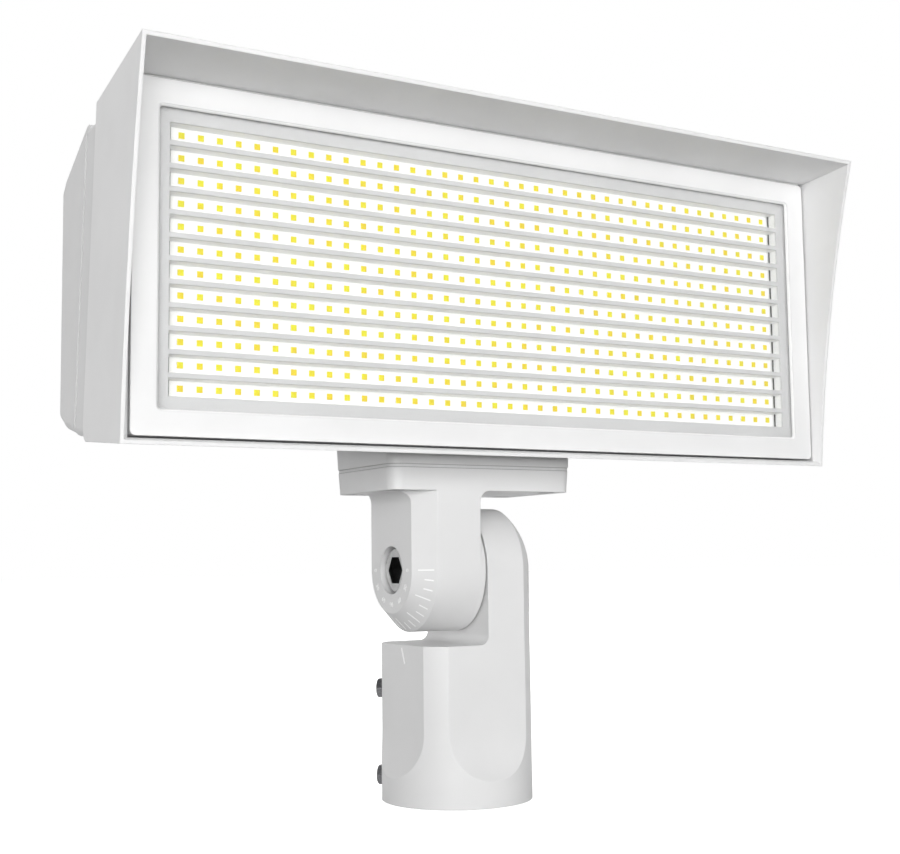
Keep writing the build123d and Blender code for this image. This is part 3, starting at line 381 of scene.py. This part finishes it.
def phosphor_windows(name, z, front_y, material):
    """One row of pillow-shaped windows. Each is a grid over (u, v) in -1..1 with
    height crown * (1 - u^4) * (1 - v^4), repeated along X by the lamps' pitch."""
    steps = np.linspace(-1, 1, PHOSPHOR_STEPS)
    u, v = np.meshgrid(steps, steps, indexing="ij")
    crown = PHOSPHOR_CROWN_MM * (1 - u ** 4) * (1 - v ** 4)
    half = PHOSPHOR_MM / 2
    columns = LED_PITCH_MM * (np.arange(LED_COUNT) - (LED_COUNT - 1) / 2)
    x = (columns[:, None, None] + half * u) * MM
    y = np.broadcast_to(front_y - (PHOSPHOR_GAP_MM + crown) * MM, x.shape)
    height = np.broadcast_to(z + half * v * MM, x.shape)
    points = np.stack([x, y, height], axis=-1).reshape(-1, 3)
    count = len(steps)
    grid = np.arange(count * count).reshape(count, count)
    quads = np.stack([grid[:-1, :-1], grid[1:, :-1], grid[1:, 1:], grid[:-1, 1:]], axis=-1)
    first = (np.arange(LED_COUNT) * count * count)[:, None, None]
    faces = (quads.reshape(-1, 4)[None] + first).reshape(-1, 4)
    piece(name, mesh_from(name, points, faces), material, "head")


def bare_ends(name, low, high, material):
    """Painted shade at a board's two ends: a dark strip over the last stretch of its face at each end
    stands in for the shadowed gap between the board's end and the slot's end wall."""
    width = END_SHADE_MM * MM
    front = low[1] - PHOSPHOR_GAP_MM * MM
    corners = [(x + right, front, z) for x in (low[0], high[0] - width)
               for right, z in ((0, low[2]), (width, low[2]), (width, high[2]), (0, high[2]))]
    mesh = mesh_from(name, corners, np.arange(8).reshape(2, 4))
    piece(name, mesh, material, "head")


def laid_bars(name, starts, ends, normals, width_mm, material, body):
    """Flat bars from starts to ends, width_mm across, standing TICK_RISE_MM off the surface along
    normals. Each bar's corners are start or end, plus or minus half the width along
    (end - start) x normal, at no height and at the full rise."""
    side = np.cross(ends - starts, normals)
    side = side / np.linalg.norm(side, axis=1, keepdims=True) * width_mm / 2 * MM
    lift = normals * TICK_RISE_MM * MM
    base = np.stack([starts - side, ends - side, ends + side, starts + side], axis=1)
    points = np.concatenate([base, base + lift[:, None]], axis=1).reshape(-1, 3)
    box = np.array([[0, 1, 2, 3], [7, 6, 5, 4], [4, 5, 1, 0], [5, 6, 2, 1], [6, 7, 3, 2], [7, 4, 0, 3]])
    faces = (box[None] + (np.arange(len(starts)) * len(box[0]) * 2)[:, None, None]).reshape(-1, 4)
    mesh = mesh_from(name, points, faces)
    face_outwards(mesh)
    piece(name, mesh, material, body)


def degree_scale(material, hub_left, pivot):
    """Ticks on the hub's chamfer, every ten degrees from the front round to the bottom and on to
    the rear. The chamfer is the cone x = left + (r - foot), and a tick runs on it at angle a from
    radius r0 in to r1, at y = -r cos a and z = -r sin a from the pivot."""
    angles = np.radians(np.arange(0, 2 * TICK_LAST_DEG + 1, TICK_STEP_DEG))
    long_one = np.arange(len(angles)) % TICK_LONG_EVERY == 0
    slope = math.sqrt(0.5)
    outer = np.full(len(angles), TICK_OUTER_MM)
    inner = outer - np.where(long_one, TICK_LONG_MM, TICK_SHORT_MM) * slope

    def on_cone(radius_mm):
        depth = hub_left + (radius_mm - (HUB_R_MM - HUB_CHAMFER_MM)) * MM
        radial = radius_mm * MM
        return np.stack([depth, pivot[1] - radial * np.cos(angles),
                         pivot[2] - radial * np.sin(angles)], axis=1)

    normals = -slope * np.stack([np.ones(len(angles)), np.cos(angles), np.sin(angles)], axis=1)
    laid_bars("scale_ticks", on_cone(outer), on_cone(inner), normals, TICK_WIDTH_MM, material, "head")


def scale_numbers(material, hub_left, pivot):
    """Small raised numbers round the bolt, one for each long tick: 0, 30, 60, 90 and down again."""
    for turn in range(0, 2 * TICK_LAST_DEG + 1, TICK_STEP_DEG * TICK_LONG_EVERY):
        value = min(turn, 2 * TICK_LAST_DEG - turn)
        curve = bpy.data.curves.new(f"number_{turn:03d}", "FONT")
        curve.body = str(value)
        curve.size = NUMBER_HEIGHT_MM * MM
        curve.align_x, curve.align_y = "CENTER", "CENTER"
        curve.extrude = TICK_RISE_MM * MM
        curve.resolution_u = NUMBER_CURVE_STEPS
        text = bpy.data.objects.new(curve.name, curve)
        bpy.context.scene.collection.objects.link(text)
        bpy.context.view_layer.update()
        shown = text.evaluated_get(bpy.context.evaluated_depsgraph_get())
        mesh = bpy.data.meshes.new_from_object(shown)
        bpy.data.objects.remove(text)
        angle = math.radians(turn)
        out = Vector((0, -math.cos(angle), -math.sin(angle)))
        normal = Vector((-1, 0, 0))
        upright = Matrix((normal.cross(out), -out, normal)).transposed().to_4x4()
        spot = Vector((hub_left, pivot[1], pivot[2])) + out * NUMBER_RING_MM * MM
        mesh.transform(Matrix.Translation(spot) @ upright)
        piece(f"scale_number_{turn:03d}", mesh, material, "head")


def pointer_mark(material, flat_x):
    """Index line on the sleeve's left flat."""
    ends = np.array([[flat_x / MM, *POINTER_FOOT_MM], [flat_x / MM, *POINTER_TIP_MM]]) * MM
    normal = np.array([[-1.0, 0.0, 0.0]])
    laid_bars("pointer_mark", ends[:1], ends[1:], normal, POINTER_WIDTH_MM, material, "mount")


def make_camera():
    """Camera at the photograph's place, from its right and up directions."""
    camera = bpy.data.objects.new("camera", bpy.data.cameras.new("camera"))
    bpy.context.scene.collection.objects.link(camera)
    camera.data.lens = CAMERA_LENS_MM
    camera.data.sensor_width = SENSOR_MM
    camera.data.clip_start, camera.data.clip_end = CAMERA_CLIP_M
    right, up = Vector(CAMERA_RIGHT).normalized(), Vector(CAMERA_UP).normalized()
    turn = Matrix((right, up, right.cross(up))).transposed().to_4x4()
    camera.matrix_world = Matrix.Translation(CAMERA_PLACE) @ turn
    bpy.context.scene.camera = camera


def make_floor():
    """Pale floor that keeps the object's shadow and looks white to the camera."""
    half = FLOOR_HALF_M
    points = [(-half, -half, 0), (half, -half, 0), (half, half, 0), (-half, half, 0)]
    floor = bpy.data.objects.new("floor", mesh_from("floor", points, [range(4)]))
    bpy.context.scene.collection.objects.link(floor)
    material, tree, shader, _ = start_material("studio_floor", 1.0, Specular_IOR_Level=0.0,
                                               Emission_Color=linear("#FFFFFF"))
    path = node(tree, "LightPath")
    links = {0: path.outputs["Is Camera Ray"], 1: path.outputs["Is Transmission Ray"]}
    direct = node(tree, "Math", links, operation="MAXIMUM")
    links = {0: direct.outputs[0], 1: path.outputs["Is Glossy Ray"]}
    seen = node(tree, "Math", links, operation="MAXIMUM")
    colour = node(tree, "ValToRGB", {"Fac": seen.outputs[0]}, [(0.0, FLOOR_BOUNCE), (1.0, "#FFFFFF")])
    tree.links.new(colour.outputs["Color"], shader.inputs["Base Color"])
    glow = node(tree, "MapRange", {"Value": direct.outputs[0]}, To_Max=FLOOR_GLOW)
    tree.links.new(glow.outputs["Result"], shader.inputs["Emission Strength"])
    floor.data.materials.append(material)


def make_sky():
    """White all round: full white to the camera, a little less in reflections, and soft even light
    of a set strength."""
    world = bpy.data.worlds.new("studio")
    bpy.context.scene.world = world
    world.use_nodes = True
    tree = world.node_tree
    sky = tree.nodes["Background"]
    sky.inputs["Color"].default_value = (1, 1, 1, 1)
    path = node(tree, "LightPath")
    shine = node(tree, "MapRange", {"Value": path.outputs["Is Glossy Ray"]}, To_Min=SKY_STRENGTH,
                 To_Max=SKY_IN_GLOSS)
    links = {0: path.outputs["Is Camera Ray"], 1: path.outputs["Is Transmission Ray"]}
    seen = node(tree, "Math", links, operation="MAXIMUM")
    level = node(tree, "Math", {0: seen.outputs[0], 1: shine.outputs["Result"]}, operation="MAXIMUM")
    tree.links.new(level.outputs[0], sky.inputs["Strength"])


def make_softboxes():
    """Large softboxes, each turned to the object. Only those in SHINING show in reflections, and none
    shows through the glass."""
    for name, place, size, watts in SOFTBOXES:
        data = bpy.data.lights.new(name, "AREA")
        data.shape = "RECTANGLE"
        data.size, data.size_y = size
        data.energy = watts
        lamp = bpy.data.objects.new(name, data)
        bpy.context.scene.collection.objects.link(lamp)
        lamp.location = place
        lamp.rotation_mode = "QUATERNION"
        lamp.rotation_quaternion = (Vector(LIGHT_TARGET) - Vector(place)).to_track_quat("-Z", "Y")
        lamp.visible_glossy = name in SHINING
        lamp.visible_transmission = False


def dress():
    """Gives every CAD node its finished material."""
    # Painted light: the slipfitter and arm take a lighter copy of the housing's coat, standing in for the
    # brighter light on the lower parts; both are one coat
    give(powder_coat("mount_coat_painted_light", "#DFDFDF", "#E3E3E3", 0.36), "slipfitter", "knuckle_arm")
    give(powder_coat("powder_coated_housing", "#DBDBDB", "#DFDFDF", 0.36), "housing", "rear_cover")
    give(powder_coat("powder_coated_sheet", "#E9E9E9", "#EDEDED", 0.33), "door_frame", "visor")
    face_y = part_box("baffle")[0][1]
    # Painted light: the baffle's slot walls take a brighter white for the light the boards throw onto
    # them
    give(powder_coat("baffle_powder_coat", "#D6D6D6", "#DADADA", 0.42, ("#FBFBFB", face_y)),
         "baffle", "baffle_rivets")
    give(clear_glass(), "lens")
    # Painted shade: the flange gasket's top and bottom edges take a darker grey for the shade in the
    # creases
    give(pinched_rubber("grey_silicone_seal", "#DCDCDC", "#E2E2E2", "#AEAEAE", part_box("flange_gasket")),
         "flange_gasket")
    give(rubber("white_silicone_seal", "#F4F4F4", "#FBFBFB"), "housing_gasket")
    give(rubber("black_silicone_seal", "#1C1C1D", "#4A4B4C"), "door_gasket", "wire_bushing")
    give(rubber("lens_seal", "#C2C2C2", "#CECECE"), "lens_gasket")
    give(metal("stainless_steel", "#B9BABC", "#CFCFD0", 0.3, 0.8), "pivot_nut", "pivot_washer",
         *[name + "_screws" for name in ("flange", "cover", "door", "carrier", "bracket", "visor")])
    # Painted shade: the bolt's socket takes a darker grey for the shade in the recess
    give(bolt_steel("bolt_steel", "#D0D0D0", "#D8D8D8", "#868686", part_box("pivot_bolt")[0][0]),
         "pivot_bolt")
    give(metal("black_oxide_steel", "#78787B", "#929295", 0.34, 0.8),
         *[f"set_screw_{i}" for i in range(1, 5)])
    give(metal("rolled_aluminium", "#CBCCCE", "#DADADB", 0.4, 2.0), "led_carrier", "driver")
    give(metal("zinc_plated_steel", "#B4B6B4", "#C9C8C0", 0.35, 12.0), "driver_bracket")
    give(plastic("black_nylon", "#161617", "#202022", 0.5), "surge_protector", "terminal_block",
         "breather_vent")
    give(plastic("white_acetal", "#E4E4E2", "#EAEAE8", 0.4), "friction_washer")


def weather_strip(material):
    """Pale foam strip that fills the slit between the door frame's top and the hood's roof. Its
    section is a rectangle with a front that bows out as FOAM_BOW_MM * (1 - t^2) for t in -1..1."""
    half_x, front, back, thick = FOAM_STRIP_MM
    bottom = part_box("door_frame")[1][2] / MM + FOAM_GAP_MM
    t = np.linspace(-1, 1, FOAM_STEPS)
    bow = FOAM_BOW_MM * (1 - t ** 2)
    nose = np.stack([front - bow + FOAM_BOW_MM, bottom + thick * (t + 1) / 2], axis=1)
    section = np.concatenate([nose, [[back, bottom + thick], [back, bottom]]])
    points = np.array([(x, y, z) for x in (-half_x, half_x) for y, z in section]) * MM
    mesh = mesh_from("hood_weather_strip", points, prism_faces(0, len(section)))
    face_outwards(mesh)
    piece("hood_weather_strip", mesh, material, "head")


def seam_bead(material):
    """Bead of sealant that fills the cover's seam at both sides and stands a little proud of the
    housing. Its section is a half ellipse on straight walls, swept down the slope of the seam."""
    low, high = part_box("housing_gasket")
    side_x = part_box("housing")[1][0]
    top = np.array([low[1] + SEAM_MM * MM / 2, high[2]])
    foot = np.array([high[1] - SEAM_MM * MM / 2, low[2]])
    along = (foot - top) / np.linalg.norm(foot - top)
    across = np.array([along[1], -along[0]])
    ends = (top + along * SEAM_BEAD_END_MM * MM, foot - along * SEAM_BEAD_END_MM * MM)
    t = np.linspace(0, math.pi, BEAD_STEPS)
    out = np.concatenate([[high[0]], side_x + SEAM_BEAD_RISE_MM * MM * np.sin(t), [high[0]]])
    aside = SEAM_MM * MM / 2 * np.concatenate([[1], np.cos(t), [-1]])
    points, faces = [], []
    for side in (-1, 1):
        faces += prism_faces(len(points), len(out))
        points += [(side * x, *(end + across * a)) for end in ends for x, a in zip(out, aside)]
    mesh = mesh_from("cover_seam_bead", points, faces)
    face_outwards(mesh)
    piece("cover_seam_bead", mesh, material, "head")


def glass_bead(material):
    """Bead of silicone in the corner between the glass and the door frame's lip, all round the
    window. Its section, by how far it stands in from the lip and off the glass, follows a rounded
    rectangle whose corner radius shrinks by the same inset."""
    (low_x, front, low_z), (high_x, _, high_z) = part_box("lens")
    middle = ((low_x + high_x) / 2, (low_z + high_z) / 2)
    t = np.linspace(0, math.pi / 2, BEAD_STEPS)
    points = []
    for inset, off in GLASS_BEAD_MM:
        radius = WINDOW_CORNER_MM - inset
        for turn, (sign_x, sign_z) in enumerate(((1, 1), (-1, 1), (-1, -1), (1, -1))):
            centre_x = middle[0] + sign_x * (WINDOW_HALF_MM[0] - WINDOW_CORNER_MM) * MM
            centre_z = middle[1] + sign_z * (WINDOW_HALF_MM[1] - WINDOW_CORNER_MM) * MM
            for a in t + turn * math.pi / 2:
                points.append((centre_x + radius * MM * math.cos(a), front - off * MM,
                               centre_z + radius * MM * math.sin(a)))
    around, rows = 4 * len(t), len(GLASS_BEAD_MM)
    faces = [(r * around + i, r * around + (i + 1) % around, (r + 1) % rows * around + (i + 1) % around,
              (r + 1) % rows * around + i) for r in range(rows) for i in range(around)]
    mesh = mesh_from("glass_bead", points, faces)
    face_outwards(mesh)
    piece("glass_bead", mesh, material, "head")


def add_marks():
    """Lamps on the boards, the degree scale and its index line, and the seals' visible beads."""
    strips = sorted(name for name in frame["nodes"] if name.startswith("led_strip_"))
    give(solder_mask(), *strips)
    yellow = phosphor()
    # Painted shade: a dark strip at each board end stands in for the shadowed gap at the slot's end wall
    end_shade = plastic("painted_end_shade", "#2E2E2C", "#3C3C39", 0.6)
    for number, strip in enumerate(strips, start=1):
        low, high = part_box(strip)
        bare_ends(f"board_end_shade_{number:02d}", low, high, end_shade)
        phosphor_windows(f"phosphor_{number:02d}", (low[2] + high[2]) / 2, low[1], yellow)
    pivot = [joint for joint in frame["joints"] if joint["name"] == "head_tilt"][0]["pos_m"]
    hub_left = HUB_LEFT_MM * MM
    paint = plastic("white_mark_paint", "#FDFDFD", "#FFFFFF", 0.4)
    degree_scale(paint, hub_left, pivot)
    scale_numbers(paint, hub_left, pivot)
    pointer_mark(paint, SLEEVE_FLAT_MM * MM)
    weather_strip(rubber("pale_foam_strip", "#CACACA", "#D6D6D6"))
    seam_bead(rubber("sealant_bead", "#D6D6D6", "#E0E0E0"))
    glass_bead(rubber("white_glazing_bead", "#F6F6F6", "#FCFCFC"))


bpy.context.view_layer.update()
make_camera()
make_floor()
make_sky()
make_softboxes()
bpy.context.scene.view_settings.view_transform = "Standard"
dress()
add_marks()
